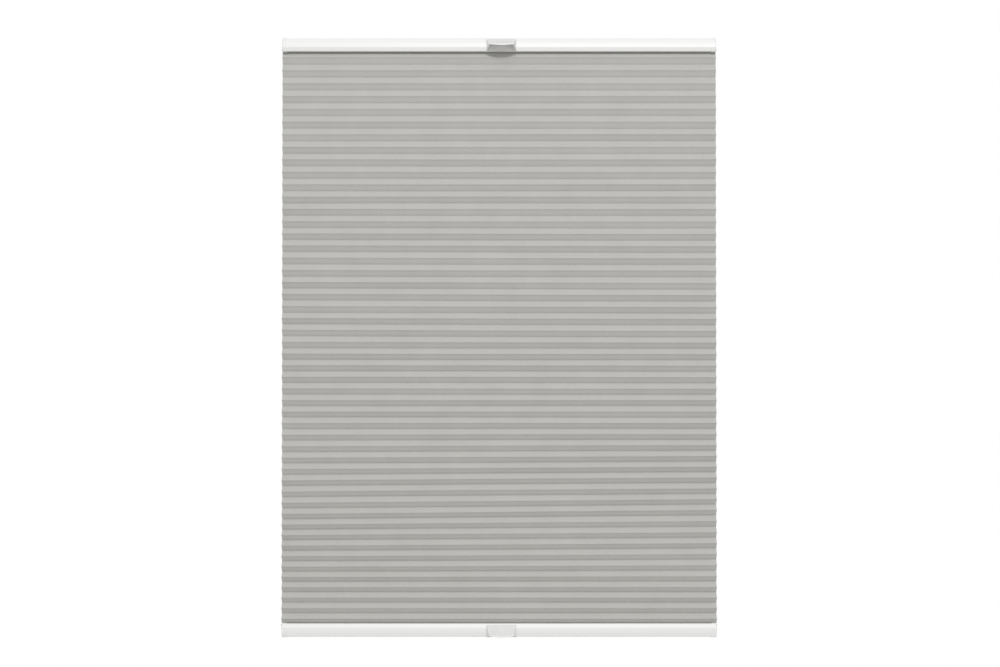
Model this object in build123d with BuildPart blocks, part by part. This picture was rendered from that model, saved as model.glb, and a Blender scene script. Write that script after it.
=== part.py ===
from build123d import *
import os
from math import hypot, sqrt

# Pleated blind: cellular cloth drawn out between two sliding rails that are
# alike, the lower one being the upper one turned over. Millimetres. The origin
# is the middle of the upper rail's flat top face, +Z is up, X runs along the
# rails and -Y faces the room.

# Overall sizes
width = 750.0  # over the end caps
drop = 1035.0  # upper rail's top face to lower rail's underside

# Rail section
rail_height = 23.0
rail_depth = 29.0
rail_wall = 1.2
crown_width = 21.0  # the flat outer face
crown_radius = 2.0
band_height = 6.6  # the straight band beside the cloth
band_lean = 1.8  # how far that band leans in towards the cloth
lip_radius = 1.1
slot_width = 10.0  # the mouth that the cloth comes out of
channel_height = 4.6  # room behind the lips for the cloth's end cell
shelf_thickness = 1.0
shelf_reach = 3.0  # how far each shelf stands in from the wall

# End caps
cap_length = 8.0
cap_proud = 0.8  # step from the rail's face up to the cap's
cap_edge_radius = 1.3
plug_length = 12.0
plug_wall = 1.6

# Cloth
mean_pitch = 20.16  # height of an average cell
mean_fold_depth = 7.2  # how far its ridge stands out from its waist
cloth_thickness = 0.3
waist_width = 3.0  # the glued strip between two cells
ridge_rise = 0.5  # the ridge's height above the cell's middle
cloth_overhang = 1.2  # cloth beyond each end cap
# The upper cells carry the most cloth, so they are the most open. The top one
# is this share taller than an average cell, and the lowest as much shorter.
openness_spread = 0.12

# Strips that hold the cloth's end cells in the rails
strip_thickness = 1.4
strip_setback = 2.0  # from the end cap's face

# Handles
handle_width = 51.5  # at the rail
handle_tip_width = 43.0
handle_reach = 27.0  # out from the rail's face
handle_bulge = 4.5  # of its front edge, seen from above
handle_top_inset = 1.9  # below the rail's upper edge
handle_foot_inset = 0.45  # above the rail's lower edge
ramp_fall = 0.53  # drop of the sloping face for each millimetre outwards
lip_height = 2.0
handle_wall = 2.0
back_wall = 1.4
rim_width = 1.9
dish_depth = 0.8
nose_radius = 1.0
corner_radius = 3.0
pin_radius = 2.0
pin_spacing = 36.0
pin_stand_in = 1.5  # beyond the rail's wall
handle_place = 4.0  # to the right of the blind's middle

# Cord path: no cord is part of the blind, only what it runs through
cord_inset = 85.0  # from the blind's edge
cord_bore_radius = 1.2
cloth_hole_radius = 1.1
eyelet_radius = 2.0
eyelet_flange_radius = 3.6
eyelet_flange = 0.8
eyelet_collar = 2.2
guide_length = 24.0
guide_bore_radius = 1.5
strip_hole_radius = 1.6
crossing_bore_radius = 2.2

# Tension springs
spring_length = 70.0
spring_pitch = 2.5
spring_radius = 2.85  # to the middle of the wire
spring_wire_radius = 0.45
spigot_length = 8.0
anchor_length = 20.0
hook_flange = 1.5
hook_eye_length = 7.0
hook_eye_thickness = 3.0

# Clearances
fit = 0.1  # pieces pushed together
seat = 0.3  # cloth to what holds it, spring to its spigot
side_gap = 0.6  # end cell to the channel's narrowest place

# What follows from them
rail_length = width - 2 * cap_length
cloth_width = width + 2 * cloth_overhang
cord_place = width / 2 - cord_inset
lip_level = rail_height - rail_wall
shelf_level = lip_level - channel_height - shelf_thickness
chamber_middle = (rail_wall + shelf_level) / 2
spigot_radius = spring_radius - spring_wire_radius - seat
handle_top = rail_height / 2 - handle_top_inset
handle_foot = rail_height / 2 - handle_foot_inset
end_cell_height = strip_thickness + 2 * (cloth_thickness + fit)
end_cell_width = rail_depth - 2 * (rail_wall + band_lean + side_gap)
strip_width = end_cell_width - 2 * (cloth_thickness + fit)
spring_gap = seat + spring_wire_radius

# Each rail's own frame: x towards the room, y from the outer face towards the
# cloth, z along the rail. The lower rail's z runs the other way.
upper = Plane(origin=(0, 0, 0), x_dir=(0, -1, 0), z_dir=(1, 0, 0))
lower = Plane(origin=(0, 0, -drop), x_dir=(0, -1, 0), z_dir=(-1, 0, 0))

os.makedirs("parts", exist_ok=True)


def finish(piece, name):
    """Labels a finished piece and writes its file."""
    piece.part.label = name
    export_step(piece.part, f"parts/{name}.step")


def facing_cloth(frame, along, level):
    """Plane in a rail that faces the cloth, level below the outer face."""
    spot = frame.from_local_coords(Vector(0, level, along))
    return Plane(origin=spot, x_dir=frame.z_dir, z_dir=frame.y_dir)


def outline(grow=0.0):
    """The rail section's closed outline, its mouth not yet cut."""
    half = rail_depth / 2
    belt = rail_height - band_height
    with BuildSketch() as face:
        with BuildLine():
            Line((0, 0), (crown_width / 2, 0))
            TangentArc((half, belt), (crown_width / 2, 0), tangent=(0, -1))
            Line((half, belt), (half - band_lean, rail_height))
            Line((half - band_lean, rail_height), (0, rail_height))
            Line((0, rail_height), (0, 0))
        make_face()
        mirror(about=Plane.YZ)
        fillet(face.vertices().group_by(Axis.Y)[0], crown_radius)
        fillet(face.vertices().group_by(Axis.Y)[-1], lip_radius)
        if grow:
            offset(amount=grow)
    return face.sketch


def chamber(clearance=0.0):
    """The closed upper room of the rail, less a clearance all round."""
    inside = outline(-rail_wall - clearance)
    height = shelf_level - rail_wall - 2 * clearance
    with BuildSketch() as room:
        add(inside)
        with Locations((0, rail_wall + clearance + height / 2)):
            Rectangle(rail_depth, height, mode=Mode.INTERSECT)
    return room.sketch


def cloth_channel():
    """The open room behind the lips, with the mouth between them."""
    inside = outline(-rail_wall)
    with BuildSketch() as room:
        add(inside)
        with Locations((0, lip_level - channel_height / 2)):
            Rectangle(rail_depth, channel_height, mode=Mode.INTERSECT)
        with Locations((0, rail_height)):
            Rectangle(slot_width, 2 * channel_height)
    return room.sketch


def pin_plane(frame, out):
    """Plane facing the room at a rail's middle height, out from its axis."""
    spot = frame.from_local_coords(Vector(out, rail_height / 2, 0))
    spot.X = handle_place
    return Plane(origin=spot, x_dir=(1, 0, 0), z_dir=frame.x_dir)


def make_rail(frame, name):
    """Extruded rail with its eyelet holes and the handle's pin holes."""
    section = outline()
    cord_room = chamber()
    cloth_room = cloth_channel()
    shelf_gap = rail_depth - 2 * (rail_wall + shelf_reach)
    with BuildPart() as rail:
        with BuildSketch(frame.offset(-rail_length / 2)):
            add(section)
            add(cord_room, mode=Mode.SUBTRACT)
            add(cloth_room, mode=Mode.SUBTRACT)
            with Locations((0, shelf_level + shelf_thickness / 2)):
                Rectangle(shelf_gap, 2 * shelf_thickness, mode=Mode.SUBTRACT)
        extrude(amount=rail_length)
        for side in (-1, 1):
            with BuildSketch(facing_cloth(frame, side * cord_place, 0)):
                Circle(eyelet_radius + fit / 2)
            extrude(amount=2 * rail_wall, mode=Mode.SUBTRACT)
        with BuildSketch(pin_plane(frame, rail_depth / 2)):
            with GridLocations(pin_spacing, 0, 2, 1):
                Circle(pin_radius + fit / 2)
        extrude(amount=-2 * rail_wall, mode=Mode.SUBTRACT)
    finish(rail, name)


def make_end_cap(frame, side, name):
    """Moulded cap over a rail's end, open where the cloth runs through."""
    start = frame.offset(side * rail_length / 2)
    section = outline(cap_proud)
    cloth_room = cloth_channel()
    plug = chamber(fit)
    with BuildPart() as cap:
        with BuildSketch(start):
            add(section)
        extrude(amount=side * cap_length)
        outward = Axis(start.origin, start.z_dir * side)
        fillet(cap.faces().sort_by(outward)[-1].edges(), cap_edge_radius)
        with BuildSketch(start):
            add(cloth_room)
            with Locations((0, rail_height + cap_proud)):
                Rectangle(slot_width, 2 * channel_height)
        extrude(amount=side * cap_length, mode=Mode.SUBTRACT)
        with BuildSketch(start):
            add(plug)
            offset(plug, amount=-plug_wall, mode=Mode.SUBTRACT)
        extrude(amount=-side * plug_length)
    finish(cap, name)


def make_strip(frame, name):
    """Flat strip inside the cloth's end cell, too wide to leave the mouth."""
    middle = lip_level - seat - end_cell_height / 2
    length = width - 2 * strip_setback
    with BuildPart() as strip:
        with BuildSketch(frame.offset(-length / 2)):
            with Locations((0, middle)):
                RectangleRounded(strip_width, strip_thickness, strip_thickness / 3)
        extrude(amount=length)
        for side in (-1, 1):
            with BuildSketch(facing_cloth(frame, side * cord_place, shelf_level)):
                Circle(strip_hole_radius)
            extrude(amount=rail_height, mode=Mode.SUBTRACT)
    finish(strip, name)


def make_guide(frame, side, name):
    """Block that turns the cord from the rail down into the cloth."""
    place = side * cord_place
    section = chamber(fit)
    with BuildPart() as guide:
        with BuildSketch(frame.offset(place - guide_length / 2)):
            add(section)
            with Locations((0, chamber_middle)):
                Circle(crossing_bore_radius, mode=Mode.SUBTRACT)
        extrude(amount=guide_length)
        with BuildSketch(facing_cloth(frame, place, 0)):
            Circle(guide_bore_radius)
        extrude(amount=rail_height, mode=Mode.SUBTRACT)
        with BuildSketch(facing_cloth(frame, place, 0)):
            Circle(eyelet_radius + fit)
        extrude(amount=rail_wall + eyelet_collar + fit, mode=Mode.SUBTRACT)
    finish(guide, name)


def make_eyelet(frame, side, name):
    """Flanged bush that lines the cord's hole in the rail's outer face."""
    outside = facing_cloth(frame, side * cord_place, -eyelet_flange)
    inward = Axis(frame.origin, frame.y_dir)
    with BuildPart() as eyelet:
        with BuildSketch(outside):
            Circle(eyelet_flange_radius)
        extrude(amount=eyelet_flange)
        fillet(eyelet.edges().sort_by(inward)[0], eyelet_flange / 2)
        with BuildSketch(outside):
            Circle(eyelet_radius)
        extrude(amount=eyelet_flange + rail_wall + eyelet_collar)
        with BuildSketch(outside):
            Circle(cord_bore_radius)
        extrude(amount=rail_height, mode=Mode.SUBTRACT)
    finish(eyelet, name)


def handle_block(middle, profile, shrink):
    """Profile seen from the side, cut to the handle's plan less shrink."""
    base = handle_width / 2 - shrink
    tip = handle_tip_width / 2 - shrink
    front = handle_reach - shrink
    corner = front - handle_bulge
    side_view = Plane(
        origin=(handle_place, -rail_depth / 2, middle),
        x_dir=(0, -1, 0),
        z_dir=(-1, 0, 0),
    )
    with BuildPart() as block:
        with BuildSketch(side_view):
            add(profile)
        extrude(amount=handle_width, both=True)
        with BuildSketch(Plane((handle_place, -rail_depth / 2, middle))) as plan:
            with BuildLine():
                Polyline((-tip, -corner), (-base, 0), (-base, rail_depth / 2))
                Line((-base, rail_depth / 2), (base, rail_depth / 2))
                Polyline((base, rail_depth / 2), (base, 0), (tip, -corner))
                ThreePointArc((tip, -corner), (0, -front), (-tip, -corner))
            make_face()
            fillet(plan.vertices().group_by(Axis.Y)[0], corner_radius - shrink / 2)
        extrude(amount=2 * rail_height, both=True, mode=Mode.INTERSECT)
    return block.part


def make_handle(frame, name):
    """Clip-on pull: a sloping hood over a pocket that is open below."""
    middle = frame.from_local_coords(Vector(0, rail_height / 2, 0)).Z
    shoulder = handle_reach - handle_bulge
    past_front = handle_reach + 1
    with BuildSketch() as hood_side:
        with BuildLine():
            Polyline(
                (0, handle_top),
                (past_front, handle_top - ramp_fall * past_front),
                (past_front, handle_top - ramp_fall * past_front - lip_height),
                (shoulder, handle_top - ramp_fall * shoulder - lip_height),
                (0, -handle_foot),
                close=True,
            )
        make_face()
    with BuildSketch() as clip_side:
        with Locations((0, (handle_top - handle_foot) / 2)):
            Rectangle(
                rail_depth / 2, handle_top + handle_foot, align=(Align.MAX, Align.CENTER)
            )
    roof = handle_top - handle_wall * hypot(1, ramp_fall)
    pocket_front = handle_reach - handle_wall + 1
    with BuildSketch() as pocket_side:
        with BuildLine():
            Polyline(
                (back_wall, roof - ramp_fall * back_wall),
                (pocket_front, roof - ramp_fall * pocket_front),
                (pocket_front, -rail_height),
                (back_wall, -rail_height),
                close=True,
            )
        make_face()
    with BuildSketch() as dish_side:
        start, end = rim_width, handle_reach
        ramp = [(out, handle_top - ramp_fall * out) for out in (start, end)]
        centre = ((start + end) / 2, handle_top - ramp_fall * (start + end) / 2)
        with BuildLine():
            Line(ramp[0], ramp[1])
            ThreePointArc(ramp[0], (centre[0], centre[1] - dish_depth), ramp[1])
        make_face()
    hood = handle_block(middle, hood_side.sketch, 0)
    clip = handle_block(middle, clip_side.sketch, 0)
    pocket = handle_block(middle, pocket_side.sketch, handle_wall)
    dish = handle_block(middle, dish_side.sketch, rim_width)
    rail_space = outline(fit)
    with BuildPart() as handle:
        add(hood)
        slope = handle.faces().sort_by(SortBy.AREA)[-1]
        fillet(slope.edges().sort_by(Axis.Y)[:-1], nose_radius)
        add(clip)
        add(pocket, mode=Mode.SUBTRACT)
        add(dish, mode=Mode.SUBTRACT)
        with BuildSketch(frame.offset(-handle_width)):
            add(rail_space)
        extrude(amount=2 * handle_width, mode=Mode.SUBTRACT)
        with BuildSketch(pin_plane(frame, rail_depth / 2 + back_wall / 2)):
            with GridLocations(pin_spacing, 0, 2, 1):
                Circle(pin_radius)
        extrude(amount=-(back_wall / 2 + rail_wall + pin_stand_in))
    finish(handle, name)


def make_spring(side, name):
    """Open-coiled tension spring, drawn out along the upper rail."""
    start = side * (anchor_length / 2 + spring_gap)
    with BuildPart() as spring:
        with BuildLine() as coil:
            Helix(
                spring_pitch,
                spring_length,
                spring_radius,
                center=(start, 0, -chamber_middle),
                direction=(side, 0, 0),
            )
        with BuildSketch(Plane(origin=coil.line @ 0, z_dir=coil.line % 0)):
            Circle(spring_wire_radius)
        sweep(is_frenet=True)
    finish(spring, name)


def make_anchor(name):
    """Block in the middle of the upper rail with a spigot for each spring."""
    section = chamber(fit)
    with BuildPart() as anchor:
        with BuildSketch(upper.offset(-anchor_length / 2)):
            add(section)
        extrude(amount=anchor_length)
        with BuildSketch(upper):
            with Locations((0, chamber_middle)):
                Circle(spigot_radius)
        extrude(amount=anchor_length / 2 + spigot_length, both=True)
    finish(anchor, name)


def make_spring_hook(side, name):
    """Plug in a spring's outer end with an eye for the cord's knot."""
    start = side * (anchor_length / 2 + spring_length + 2 * spring_gap)
    end = upper.offset(start)
    eye_height = 2 * spigot_radius + 2 * hook_flange
    with BuildPart() as hook:
        with BuildSketch(end):
            with Locations((0, chamber_middle)):
                Circle(spigot_radius)
        extrude(amount=-side * spigot_length)
        with BuildSketch(end):
            with Locations((0, chamber_middle)):
                Circle(spring_radius + spring_wire_radius)
        extrude(amount=side * hook_flange)
        with BuildSketch(end.offset(side * hook_flange)):
            with Locations((0, chamber_middle)):
                Rectangle(hook_eye_thickness, eye_height)
        extrude(amount=side * hook_eye_length)
        eye = Plane(
            origin=(start + side * (hook_flange + hook_eye_length / 2), 0, -chamber_middle),
            z_dir=(0, -1, 0),
        )
        with BuildSketch(eye):
            Circle(cord_bore_radius)
        extrude(amount=hook_eye_thickness, both=True, mode=Mode.SUBTRACT)
    finish(hook, name)


def cell_pitches(span):
    """Height of each cell from the top down, together filling the span."""
    count = round(span / mean_pitch)
    steps = [1 - 2 * i / (count - 1) for i in range(count)]
    return [span / count * (1 + openness_spread * step) for step in steps]


def cell_hollow(corners):
    """The room inside one cell, its outline less the cloth's thickness."""
    with BuildSketch() as hollow:
        with BuildLine():
            Polyline(corners, close=True)
        make_face()
        offset(amount=-cloth_thickness, kind=Kind.INTERSECTION, mode=Mode.REPLACE)
    return hollow.sketch


def make_cloth(name):
    """Row of cells glued at their waists, an end cell held in each rail."""
    facet = hypot(mean_pitch / 2, mean_fold_depth)
    waist = waist_width / 2
    level = lip_level - seat
    bottom = drop - level
    cells = []
    edge = []
    for pitch in cell_pitches(bottom - level):
        fold = waist + sqrt(facet**2 - (pitch / 2) ** 2)
        ridge = level + pitch / 2 - ridge_rise
        foot = level + pitch
        cells.append(
            [
                (waist, level),
                (fold, ridge),
                (waist, foot),
                (-waist, foot),
                (-fold, ridge),
                (-waist, level),
            ]
        )
        edge.append((fold, ridge))
        edge.append((waist, foot))
        level = foot
    with BuildSketch() as section:
        with BuildLine():
            front = [(waist, lip_level - seat)] + edge
            Polyline(front + [(-out, down) for out, down in reversed(front)], close=True)
        make_face()
        for end, inward in ((lip_level - seat, -1), (bottom, 1)):
            with Locations((0, end + inward * end_cell_height / 2)):
                Rectangle(end_cell_width, end_cell_height)
    hollows = [cell_hollow(corners) for corners in cells]
    with BuildSketch() as end_hollows:
        for end, inward in ((lip_level - seat, -1), (bottom, 1)):
            with Locations((0, end + inward * end_cell_height / 2)):
                Rectangle(
                    end_cell_width - 2 * cloth_thickness,
                    end_cell_height - 2 * cloth_thickness,
                )
    with BuildPart() as cloth:
        with BuildSketch(upper.offset(-cloth_width / 2)):
            add(section.sketch)
            add(end_hollows.sketch, mode=Mode.SUBTRACT)
            for hollow in hollows:
                add(hollow, mode=Mode.SUBTRACT)
        extrude(amount=cloth_width)
        for side in (-1, 1):
            with BuildSketch(facing_cloth(upper, side * cord_place, shelf_level)):
                Circle(cloth_hole_radius)
            extrude(amount=drop, mode=Mode.SUBTRACT)
    finish(cloth, name)


# The upper rail's left is at the low end of its own z, the lower rail's at the
# high end.
for frame, rail, left in ((upper, "top", -1), (lower, "bottom", 1)):
    make_rail(frame, f"{rail}_rail")
    make_strip(frame, f"{rail}_fabric_strip")
    make_handle(frame, f"{rail}_handle")
    for side, hand in ((left, "left"), (-left, "right")):
        make_end_cap(frame, side, f"{rail}_end_cap_{hand}")
        make_guide(frame, side, f"{rail}_cord_guide_{hand}")
        make_eyelet(frame, side, f"{rail}_eyelet_{hand}")

make_anchor("spring_anchor")
for side, hand in ((-1, "left"), (1, "right")):
    make_spring(side, f"tension_spring_{hand}")
    make_spring_hook(side, f"spring_hook_{hand}")

make_cloth("cell_fabric")
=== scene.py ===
# %% [markdown]
# # A pleated blind in Blender
# The blind is a curtain of glued paper-thin cells, drawn out between two slim
# white rails that slide on hidden cords. Its rails, caps, pulls and springs
# were made in CAD, and they arrive here as finished meshes. What is left for
# Blender is the cloth, the finish of every surface, the light and the camera.
# Everything is in metres, with the origin in the middle of the upper rail's
# top face, Z up and the room on the -Y side.

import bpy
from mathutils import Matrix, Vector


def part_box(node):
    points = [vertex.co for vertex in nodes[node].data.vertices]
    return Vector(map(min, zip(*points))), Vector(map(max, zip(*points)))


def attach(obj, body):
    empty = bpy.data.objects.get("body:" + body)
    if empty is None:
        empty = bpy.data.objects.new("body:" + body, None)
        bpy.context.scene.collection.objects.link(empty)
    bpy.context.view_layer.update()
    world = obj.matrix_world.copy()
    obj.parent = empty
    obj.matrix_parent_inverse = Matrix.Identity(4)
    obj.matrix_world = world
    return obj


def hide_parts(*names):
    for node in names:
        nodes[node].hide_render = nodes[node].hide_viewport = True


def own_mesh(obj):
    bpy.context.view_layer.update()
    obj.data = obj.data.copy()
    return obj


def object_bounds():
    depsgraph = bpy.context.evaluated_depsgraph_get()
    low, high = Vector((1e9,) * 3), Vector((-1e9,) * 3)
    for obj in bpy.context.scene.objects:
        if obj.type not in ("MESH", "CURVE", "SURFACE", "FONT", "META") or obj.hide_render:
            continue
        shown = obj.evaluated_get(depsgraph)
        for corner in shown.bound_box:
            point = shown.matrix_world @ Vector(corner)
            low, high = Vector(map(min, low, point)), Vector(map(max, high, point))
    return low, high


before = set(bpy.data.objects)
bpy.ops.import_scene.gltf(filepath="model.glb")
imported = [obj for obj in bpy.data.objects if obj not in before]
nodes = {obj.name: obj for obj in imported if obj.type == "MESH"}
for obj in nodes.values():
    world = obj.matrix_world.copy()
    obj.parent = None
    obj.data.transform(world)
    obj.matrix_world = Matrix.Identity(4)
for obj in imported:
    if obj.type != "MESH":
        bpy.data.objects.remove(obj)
cad_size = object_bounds()
print("CAD box:", cad_size)

# %% [markdown]
# ## Units, colours and nodes
# A workshop thinks in millimetres and a paint chart gives hex colours, while
# Blender wants metres and linear light. Two one-line conversions keep both
# kinds of number readable. The third helper adds one shader node of any kind,
# with its settings and its links, so that each material below reads as a list
# of what its surface is made of.

# %% Conversions and the node helper
from math import cos, hypot, pi, radians, sin, sqrt
from random import Random

import bpy
from mathutils import Matrix, Vector

MM = 0.001
DARK_UP_TO = 0.3
LIGHT_FROM = 0.7


def linear(hex_colour):
    """An sRGB hex colour as the linear RGBA that shaders use."""
    parts = [int(hex_colour[i : i + 2], 16) / 255 for i in (0, 2, 4)]
    curve = [c / 12.92 if c <= 0.04045 else ((c + 0.055) / 1.055) ** 2.4 for c in parts]
    return (*curve, 1.0)


def per_metre(size_mm):
    """Texture scale that gives one feature every size_mm."""
    return 1 / (size_mm * MM)


def add(tree, kind, settings=None, **sockets):
    """Adds a node. A socket is given a value, or another node's output."""
    node = tree.nodes.new(kind)
    for name, value in (settings or {}).items():
        setattr(node, name, value)
    for name, value in sockets.items():
        socket = node.inputs[name.replace("_", " ")]
        if isinstance(value, bpy.types.NodeSocket):
            tree.links.new(value, socket)
        else:
            socket.default_value = value
    return node


def start_material(name, roughness, metallic=0.0):
    """A material with one Principled shader, and its object coordinates."""
    material = bpy.data.materials.new(name)
    material.use_nodes = True
    tree = material.node_tree
    shader = tree.nodes["Principled BSDF"]
    shader.inputs["Roughness"].default_value = roughness
    shader.inputs["Metallic"].default_value = metallic
    place = add(tree, "ShaderNodeTexCoord").outputs["Object"]
    return material, tree, shader, place


def two_tones(tree, shader, pattern, dark, light):
    """Colours the shader between two tones, as the pattern goes from 0 to 1."""
    ramp = add(tree, "ShaderNodeValToRGB", Fac=pattern)
    ramp.color_ramp.elements[0].position = DARK_UP_TO
    ramp.color_ramp.elements[0].color = linear(dark)
    ramp.color_ramp.elements[1].position = LIGHT_FROM
    ramp.color_ramp.elements[1].color = linear(light)
    tree.links.new(ramp.outputs["Color"], shader.inputs["Base Color"])


def relief(tree, shader, height, depth_mm, strength):
    """Gives the shader a fine relief, depth_mm high where the pattern is 1."""
    bump = add(tree, "ShaderNodeBump", Height=height, Strength=strength, Distance=depth_mm * MM)
    tree.links.new(bump.outputs["Normal"], shader.inputs["Normal"])


print("helpers ready")

# %% [markdown]
# ## Powder-coated aluminium
# The rails are extruded aluminium, sprayed with polyester powder and baked.
# The powder melts into a closed film that is satin, not glossy, and it keeps a
# faint orange peel: soft dimples a millimetre or two across. Under the film
# the metal doesn't show at all, so the shader is a plain dielectric.

# %% The rails' finish
PEEL_MM = 1.6
GRAIN_MM = 0.35

powder_coat, tree, shader, place = start_material("powder_coated_aluminium_satin", 0.42)
peel = add(
    tree, "ShaderNodeTexNoise", Vector=place, Scale=per_metre(PEEL_MM), Detail=2.0
).outputs["Fac"]
grain = add(
    tree, "ShaderNodeTexNoise", Vector=place, Scale=per_metre(GRAIN_MM), Detail=3.0
).outputs["Fac"]
two_tones(tree, shader, grain, "ededec", "f2f2f1")
relief(tree, shader, peel, 0.03, 0.25)
for name in ("top_rail", "bottom_rail"):
    nodes[name].data.materials[0] = powder_coat
print("powder coat on the rails")

# %% [markdown]
# ## Moulded ABS
# The caps, the pulls and the cord bushes are injection moulded in white ABS.
# Their mould was spark eroded, which prints a fine, even, pebbled texture. It
# takes the gloss off without making the plastic look rough, and it hides
# fingerprints. The mix of resin and pigment clouds the colour very slightly.

# %% The moulded pieces' finish
PEBBLE_MM = 0.5
CLOUD_MM = 14.0

moulded_abs, tree, shader, place = start_material("moulded_abs_spark_eroded", 0.36)
shader.inputs["IOR"].default_value = 1.53
pebbles = add(
    tree,
    "ShaderNodeTexVoronoi",
    {"feature": "SMOOTH_F1"},
    Vector=place,
    Scale=per_metre(PEBBLE_MM),
).outputs["Distance"]
clouds = add(
    tree, "ShaderNodeTexNoise", Vector=place, Scale=per_metre(CLOUD_MM), Detail=2.0
).outputs["Fac"]
two_tones(tree, shader, clouds, "ededec", "f2f2f1")
relief(tree, shader, pebbles, 0.02, 0.2)
for name, node in nodes.items():
    if "end_cap" in name or "handle" in name or "eyelet" in name:
        node.data.materials[0] = moulded_abs
print("moulded ABS on the caps, pulls and bushes")

# %% [markdown]
# ## Acetal
# The guides, the strips and the spring's fittings are hidden inside the rails.
# They rub on cords, so they are made of acetal, a slippery, slightly waxy
# plastic. It is left its natural grey, with the flow marks of the mould.

# %% The inner pieces' finish
FLOW_MM = 5.0

acetal, tree, shader, place = start_material("natural_acetal_moulded", 0.45)
shader.inputs["IOR"].default_value = 1.48
flow = add(
    tree,
    "ShaderNodeTexNoise",
    Vector=place,
    Scale=per_metre(FLOW_MM),
    Detail=4.0,
    Distortion=1.5,
).outputs["Fac"]
two_tones(tree, shader, flow, "a9a9a5", "b6b6b2")
relief(tree, shader, flow, 0.02, 0.15)
for name, node in nodes.items():
    if any(word in name for word in ("strip", "guide", "anchor", "hook")):
        node.data.materials[0] = acetal
print("acetal on the inner pieces")

# %% [markdown]
# ## Drawn spring wire
# The two springs are wound from cold drawn steel wire. Drawing it through a
# die leaves fine lines along the wire and an even, quiet shine.

# %% The springs' finish
DRAW_LINE_MM = 0.12

spring_wire, tree, shader, place = start_material("drawn_spring_wire", 0.3, metallic=1.0)
lines = add(
    tree, "ShaderNodeTexNoise", Vector=place, Scale=per_metre(DRAW_LINE_MM), Detail=2.0
).outputs["Fac"]
two_tones(tree, shader, lines, "9a9a9c", "b4b4b6")
relief(tree, shader, lines, 0.01, 0.2)
for name in ("tension_spring_left", "tension_spring_right"):
    nodes[name].data.materials[0] = spring_wire
print("drawn wire on the springs")

# %% [markdown]
# ## Spunlaced polyester
# The cloth isn't woven. Short polyester fibres are laid down as a mat, tangled
# by fine water jets and pressed flat, and then the sheet is folded and glued
# into cells. Up close it shows a felt of fibres that lies mostly across the
# blind, in a matt, warm grey. The fibres themselves are thinner than a hair,
# far too fine for a render of the whole blind, so the felt is drawn as
# bundles of them, about as wide as they need to be to show.

# %% The cloth's finish
BUNDLE_LENGTH_MM = 6.0
BUNDLE_WIDTH_MM = 0.7
LAY_DEGREES = 24
PATCH_MM = 45.0
PATCH_SHARE = 0.3

cloth_finish, tree, shader, place = start_material("spunlaced_polyester_pressed", 0.88)
shader.inputs["IOR"].default_value = 1.46
shader.inputs["Sheen Weight"].default_value = 0.06
shader.inputs["Sheen Roughness"].default_value = 0.5
stretch = (
    per_metre(BUNDLE_LENGTH_MM),
    per_metre(BUNDLE_WIDTH_MM),
    per_metre(BUNDLE_WIDTH_MM),
)
layers = []
for lay in (LAY_DEGREES, -LAY_DEGREES):
    turned = add(
        tree, "ShaderNodeMapping", Vector=place, Rotation=(0, radians(lay), 0), Scale=stretch
    ).outputs["Vector"]
    layers.append(
        add(
            tree, "ShaderNodeTexNoise", Vector=turned, Scale=1.0, Detail=3.0, Distortion=0.8
        ).outputs["Fac"]
    )
felt = add(tree, "ShaderNodeMix", Factor=0.5, A=layers[0], B=layers[1]).outputs["Result"]
patches = add(
    tree, "ShaderNodeTexNoise", Vector=place, Scale=per_metre(PATCH_MM), Detail=2.0
).outputs["Fac"]
tone = add(tree, "ShaderNodeMix", Factor=PATCH_SHARE, A=felt, B=patches).outputs["Result"]
two_tones(tree, shader, tone, "b8b7b3", "c2c1bd")
relief(tree, shader, felt, 0.08, 0.3)
print("cloth finish ready")

# %% [markdown]
# ## The drawn-out cells
# The cloth is a stack of tubes, each a folded sheet glued to the next along a
# narrow waist. Seen from the side a cell is a hexagon: a waist above, a ridge
# in front, a waist below and a ridge behind. A facet's length never changes,
# because cloth hardly stretches, so a cell that is drawn out further is also
# flatter. That one rule gives every cell's depth from its height:
# depth = sqrt(facet squared - half height squared).
#
# The cells could be a flat grid pushed about by a displacement map, but a map
# can't make closed tubes. So the tubes are built directly, ring by ring, and
# the rings follow the rule at every place across the width.

# %% Sizes of the cells
CELLS = 49
FACET = 12.39 * MM
HALF_WAIST = 1.5 * MM
CLOTH = 0.3 * MM
FIT = 0.1 * MM
RIDGE_RISE = 0.5 * MM

cloth_low, cloth_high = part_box("cell_fabric")
upper_strip_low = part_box("top_fabric_strip")[0][2]
lower_strip_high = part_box("bottom_fabric_strip")[1][2]
first_waist = upper_strip_low - CLOTH - FIT
last_waist = lower_strip_high + CLOTH + FIT
cloth_span = first_waist - last_waist
half_width = (cloth_high[0] - cloth_low[0]) / 2
print(f"{CELLS} cells, mean height {cloth_span / CELLS / MM:.2f} mm")

# %% [markdown]
# ## How far each cell is drawn out
# The upper cells carry all the cloth below them, so they hang more open than
# the lower ones. One number says how much: the top cell is that share taller
# than an average one, the lowest is as much shorter, and those between follow
# a straight line. The CAD cloth is drawn out by the same rule. No two cells
# are quite alike either, so each height gets a small seeded random share.

# %% Heights of the cells
OPENNESS_SPREAD = 0.12
UNEVEN = 0.018

rng = Random(7)
shares = []
for cell in range(CELLS):
    step = 1 - 2 * cell / (CELLS - 1)
    shares.append((1 + OPENNESS_SPREAD * step) * (1 + rng.uniform(-UNEVEN, UNEVEN)))
waists = [first_waist]
for openness in shares:
    waists.append(waists[-1] - cloth_span * openness / sum(shares))
print(f"top cell {(waists[0] - waists[1]) / MM:.1f} mm, last {(waists[-2] - waists[-1]) / MM:.1f} mm")

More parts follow.
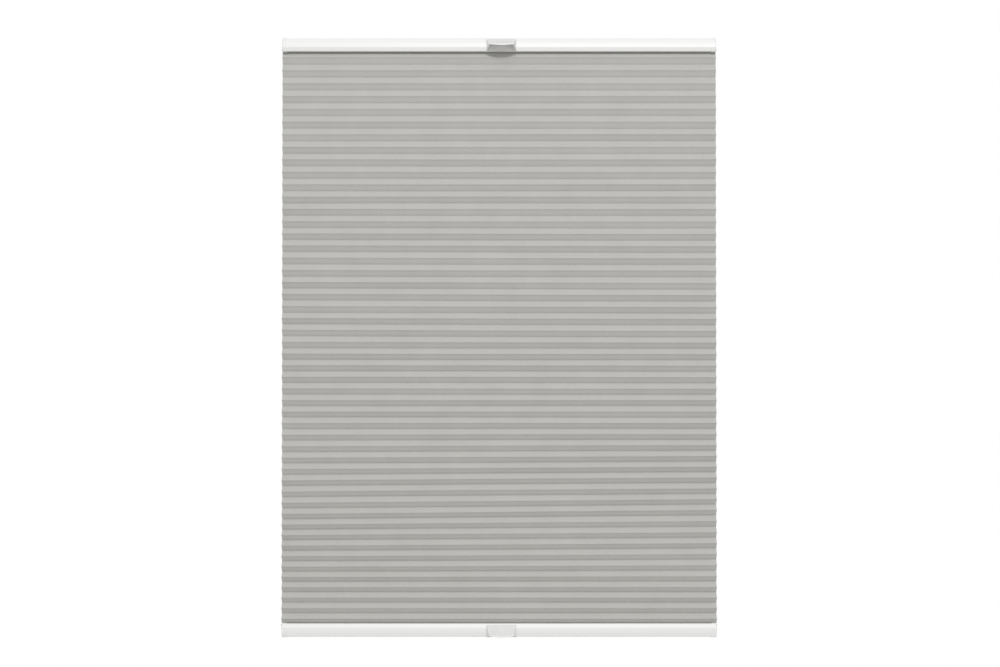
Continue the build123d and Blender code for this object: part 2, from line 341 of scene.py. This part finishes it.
# %% [markdown]
# ## Folds that run out of level
# Both rails hold the cloth level, but nothing does in between. On this blind
# the folds climb to the right in the lower third, and fall to the right by
# less around the middle. Each is a smooth hump over a stretch of the depth,
# set by its size, its place and its reach. A long shallow wave keeps each fold
# from being ruler straight.

# %% The lie of the folds
CLIMB = 6.5 * MM
CLIMB_PLACE = 0.8
CLIMB_REACH = 0.16
FALL = 2.0 * MM
FALL_PLACE = 0.45
FALL_REACH = 0.2
WAVE = 0.25 * MM
WAVE_TURN = 2.2
LEVEL_STRETCH = 0.125


def hump(away, reach):
    """A smooth hump: 1 at its place, 0 where the reach ends and beyond."""
    return (1 + cos(pi * min(abs(away) / reach, 1.0))) / 2


def climb_at(depth):
    """How much higher the right end of a fold is, at a depth from 0 to 1."""
    rise = CLIMB * hump(depth - CLIMB_PLACE, CLIMB_REACH)
    return rise - FALL * hump(depth - FALL_PLACE, FALL_REACH)


phases = [rng.uniform(0, 2 * pi) for _ in waists]


def waist_at(index, across):
    """Height of a waist, at a place across the blind from -1 to 1."""
    level = waists[index]
    depth = (first_waist - level) / cloth_span
    free = min(min(depth, 1 - depth) / LEVEL_STRETCH, 1.0)
    wave = WAVE * free * sin(WAVE_TURN * across + phases[index])
    return level + climb_at(depth) * across / 2 + wave


print(f"steepest climb {CLIMB / MM} mm across the blind")

# %% [markdown]
# ## One ring of a cell
# A ring is a cell's outline at one place across the blind. Pressed creases
# leave a facet slightly S-shaped: pinched where it meets the ridge and full
# where it leaves the glued waist, by a fraction of a millimetre. The pinch
# makes each crease read as a fine line of its own. The ridge itself is a tight
# bend, not a knife edge, so it is blunted a little. The ring is drawn for the
# front and then mirrored for the back.

# %% The ring's outline
SWELL = 0.32 * MM
BLUNT = 0.12 * MM
PLACES = (0.1, 0.24, 0.4, 0.56, 0.72, 0.86, 0.96)


def along_facet(waist, ridge):
    """Points from a waist towards a ridge, on the facet's slight S."""
    (y0, z0), (y1, z1) = waist, ridge
    length = hypot(y1 - y0, z1 - z0)
    side = 1 if z1 < z0 else -1
    out = ((z0 - z1) / length * side, (y1 - y0) / length * side)
    swells = [(share, SWELL * sin(2 * pi * share)) for share in PLACES]
    return [
        (y0 + (y1 - y0) * share + out[0] * swell, z0 + (z1 - z0) * share + out[1] * swell)
        for share, swell in swells
    ]


def both_sides(front):
    """A ring from its front points: those, and then the same mirrored."""
    return [(-y, z) for y, z in front] + [(y, z) for y, z in reversed(front)]


def cell_ring(top, bottom):
    """(y, z) points of a cell's outline, from its upper waist round."""
    half = (top - bottom) / 2
    ridge = (HALF_WAIST + sqrt(FACET**2 - half**2) - BLUNT, (top + bottom) / 2 + RIDGE_RISE)
    upper, lower = (HALF_WAIST, top), (HALF_WAIST, bottom)
    down = along_facet(upper, ridge)
    back = along_facet(lower, ridge)[::-1]
    return both_sides([upper, *down, ridge, *back, lower])


def end_ring(waist, inward, half_depth, height):
    """The flat end cell round a strip, with as many points as a cell's ring."""
    far = waist + inward * height
    depths = [HALF_WAIST + (half_depth - BLUNT - HALF_WAIST) * share for share in PLACES]
    near_side = [(HALF_WAIST, waist)] + [(y, waist) for y in depths]
    far_side = [(y, far) for y in reversed(depths)] + [(HALF_WAIST, far)]
    return both_sides([*near_side, (half_depth, (waist + far) / 2), *far_side])


print("points in a ring:", len(cell_ring(waists[0], waists[1])))

# %% [markdown]
# ## The cloth's mesh
# Rings set side by side across the blind make a cell's tube. Every tube is
# open at both ends, as the real cells are where the cloth was cut, and the
# knife wandered a little from cell to cell. The long edges at creases and
# waists are noted as sharp, and so are the cut edges, so that each facet is
# shaded on its own.

# %% Work out the cloth's points and faces
COLUMNS = 26
CUT_WANDER = 0.25 * MM
FRONT_RIDGE = len(PLACES) + 1
FRONT_END = 2 * FRONT_RIDGE
BACK_END = FRONT_END + 1
SHARP_POINTS = (0, FRONT_RIDGE, FRONT_END, BACK_END, BACK_END + FRONT_RIDGE, BACK_END + FRONT_END)

upper_strip_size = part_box("top_fabric_strip")
end_half_depth = upper_strip_size[1][1] + CLOTH + FIT
end_height = cloth_high[2] - first_waist


def rings_of(index, across):
    """Ring of a cell, or of an end cell at either end of the count."""
    if index < 0:
        return end_ring(first_waist, 1, end_half_depth, end_height)
    if index >= CELLS:
        return end_ring(last_waist, -1, end_half_depth, end_height)
    return cell_ring(waist_at(index, across), waist_at(index + 1, across))


points = []
faces = []
sharp = set()
for cell in range(-1, CELLS + 1):
    first = len(points)
    cuts = [rng.uniform(-CUT_WANDER, 0) for _ in range(2)]
    for column in range(COLUMNS + 1):
        across = 2 * column / COLUMNS - 1
        cut = cuts[0] if column == 0 else cuts[1]
        x = across * half_width if 0 < column < COLUMNS else across * (half_width + cut)
        ring = rings_of(cell, across)
        points += [(x, y, z) for y, z in ring]
    size = len(ring)
    for column in range(COLUMNS):
        here = first + column * size
        for i in range(size):
            j = (i + 1) % size
            faces.append((here + i, here + j, here + size + j, here + size + i))
            if column in (0, COLUMNS - 1):
                rim = here + size if column else here
                sharp.add((rim + min(i, j), rim + max(i, j)))
            if i in SHARP_POINTS:
                sharp.add((here + i, here + size + i))
print("points:", len(points), "faces:", len(faces), "sharp edges:", len(sharp))

# %% [markdown]
# ## From points to cloth
# The points become one mesh. Its faces are smooth and its noted edges sharp,
# which reads as soft facets between crisp creases. The thickness isn't
# modelled by hand: a Solidify modifier adds it, inwards, so the outline stays
# as it was worked out.

# %% Build the cloth
mesh = bpy.data.meshes.new("drawn_cells")
mesh.from_pydata(points, [], faces)
mesh.validate()
mesh.update()
mesh.polygons.foreach_set("use_smooth", [True] * len(mesh.polygons))
marks = mesh.attributes.new("sharp_edge", "BOOLEAN", "EDGE")
for edge, mark in zip(mesh.edges, marks.data):
    mark.value = (min(edge.vertices), max(edge.vertices)) in sharp
mesh.materials.append(cloth_finish)
cloth = bpy.data.objects.new("drawn_cells", mesh)
bpy.context.scene.collection.objects.link(cloth)
solid = cloth.modifiers.new("thickness", "SOLIDIFY")
solid.thickness = CLOTH
solid.offset = -1
print("cloth:", cloth.name, "thickness", CLOTH / MM, "mm")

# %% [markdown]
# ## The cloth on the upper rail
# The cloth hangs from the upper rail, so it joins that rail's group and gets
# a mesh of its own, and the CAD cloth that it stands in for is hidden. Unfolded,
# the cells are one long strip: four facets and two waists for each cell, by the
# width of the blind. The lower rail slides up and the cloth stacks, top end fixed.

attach(cloth, "upper_rail_group")
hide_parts("cell_fabric")
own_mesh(cloth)

# %% [markdown]
# ## Floor
# The blind hangs, so the floor is only there to close the room below it: a
# pale, matt disc with its rim rounded down, small enough to stay out of the
# way of the view from the front.

# %% Lay the floor
FLOOR_DROP = 0.6
FLOOR_RADIUS = 1.1
RIM = 0.03
STEPS = 96
PLASTER_MM = 30.0

floor_level = cad_size[0][2] - FLOOR_DROP
outline = [(FLOOR_RADIUS, 0.0)]
outline += [
    (FLOOR_RADIUS + RIM * sin(a), RIM * (cos(a) - 1)) for a in (pi / 6, pi / 3, pi / 2)
]
floor_points = [
    (r * cos(2 * pi * i / STEPS), r * sin(2 * pi * i / STEPS), floor_level + down)
    for r, down in outline
    for i in range(STEPS)
]
floor_faces = [tuple(range(STEPS))]
for ring in range(len(outline) - 1):
    for i in range(STEPS):
        j = (i + 1) % STEPS
        a, b = ring * STEPS, (ring + 1) * STEPS
        floor_faces.append((a + i, b + i, b + j, a + j))
floor_mesh = bpy.data.meshes.new("floor")
floor_mesh.from_pydata(floor_points, [], floor_faces)
floor = bpy.data.objects.new("floor", floor_mesh)
bpy.context.scene.collection.objects.link(floor)

plaster, tree, shader, place = start_material("pale_plaster_floor", 0.9)
mottle = add(
    tree, "ShaderNodeTexNoise", Vector=place, Scale=per_metre(PLASTER_MM), Detail=5.0
).outputs["Fac"]
two_tones(tree, shader, mottle, "e4e3e0", "eae9e6")
floor_mesh.materials.append(plaster)
print(f"floor at {floor_level:.3f} m")

# %% [markdown]
# ## Light
# The blind is lit like a catalogue piece: one big soft box in front, above and
# a little to the right, which models the folds and throws the pulls' soft
# shadows, and a bright room all round that fills them. The room is dimmer
# below than above and behind than in front, so a wide, weak box behind lights
# the cloth's back. Seen by the camera the room is plain white.

# %% Hang the lamps
KEY_DISTANCE = 6.0
KEY_SIZE = 0.55
KEY_WATTS = 143.0
KEY_RIGHT = radians(4)
KEY_UP = radians(27)
BACK_RIGHT = radians(200)
BACK_UP = radians(25)
BACK_DISTANCE = 5.0
BACK_SIZE = 2.5
BACK_WATTS = 75.0
WHITE = linear("ffffff")
FILL_BELOW = 0.33
FILL_ABOVE = 0.66
FILL_FRONT = 1.3
FILL_BACK = 0.5

middle = Vector((0, 0, (cad_size[0][2] + cad_size[1][2]) / 2))


def hang_soft_box(name, right, up, distance, size, watts):
    """A square soft box that faces the blind's middle from a direction."""
    towards = Vector((sin(right) * cos(up), -cos(right) * cos(up), sin(up)))
    light = bpy.data.lights.new(name, "AREA")
    light.shape = "SQUARE"
    light.size = size
    light.energy = watts
    lamp = bpy.data.objects.new(name, light)
    lamp.location = middle + towards * distance
    lamp.rotation_euler = towards.to_track_quat("Z", "Y").to_euler()
    bpy.context.scene.collection.objects.link(lamp)


hang_soft_box("soft_box", KEY_RIGHT, KEY_UP, KEY_DISTANCE, KEY_SIZE, KEY_WATTS)
hang_soft_box("back_box", BACK_RIGHT, BACK_UP, BACK_DISTANCE, BACK_SIZE, BACK_WATTS)

world = bpy.data.worlds.new("bright_room")
world.use_nodes = True
bpy.context.scene.world = world
tree = world.node_tree
tree.nodes.clear()
direction = add(tree, "ShaderNodeTexCoord").outputs["Generated"]
split = add(tree, "ShaderNodeSeparateXYZ", Vector=direction)
height, depth = split.outputs["Z"], split.outputs["Y"]
vertical = add(
    tree,
    "ShaderNodeMapRange",
    **{"Value": height, "From Min": -1.0, "To Min": FILL_BELOW, "To Max": FILL_ABOVE},
).outputs["Result"]
frontal = add(
    tree,
    "ShaderNodeMapRange",
    **{"Value": depth, "From Min": -1.0, "To Min": FILL_FRONT, "To Max": FILL_BACK},
).outputs["Result"]
fill = add(tree, "ShaderNodeMath", {"operation": "MULTIPLY"})
tree.links.new(vertical, fill.inputs[0])
tree.links.new(frontal, fill.inputs[1])
seen = add(tree, "ShaderNodeLightPath").outputs["Is Camera Ray"]
room = add(tree, "ShaderNodeBackground", Color=WHITE, Strength=fill.outputs["Value"])
white = add(tree, "ShaderNodeBackground", Color=WHITE, Strength=1.0)
both = add(tree, "ShaderNodeMixShader", Fac=seen)
tree.links.new(room.outputs["Background"], both.inputs[1])
tree.links.new(white.outputs["Background"], both.inputs[2])
add(tree, "ShaderNodeOutputWorld", Surface=both.outputs["Shader"])
print("soft box and bright room")

# %% [markdown]
# ## Camera
# A 50 mm lens, 2.4 m from the rails, straight on and level with the middle of
# the blind. It looks up by half a degree, which makes the lower rail a touch
# wider than the upper one. The tone curve is the plain one, so that white
# paint comes out white.

# %% Place the camera
LENS_MM = 50
SENSOR_MM = 36
DISTANCE = 2.397
LOOK_UP = radians(0.5)
AIM_ABOVE_MIDDLE = 6 * MM
AIM_RIGHT = 1.5 * MM

rail_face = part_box("top_rail")[0][1]
aim = Vector((AIM_RIGHT, rail_face, middle.z + AIM_ABOVE_MIDDLE))
gaze = Vector((0, cos(LOOK_UP), sin(LOOK_UP)))
camera_data = bpy.data.cameras.new("camera")
camera_data.lens = LENS_MM
camera_data.sensor_width = SENSOR_MM
camera = bpy.data.objects.new("camera", camera_data)
turn = Matrix.Rotation(radians(90) + LOOK_UP, 4, "X")
camera.matrix_world = Matrix.Translation(aim - gaze * DISTANCE) @ turn
bpy.context.scene.collection.objects.link(camera)
bpy.context.scene.camera = camera
bpy.context.scene.view_settings.view_transform = "Standard"
print("camera at", [round(c, 3) for c in camera.location])
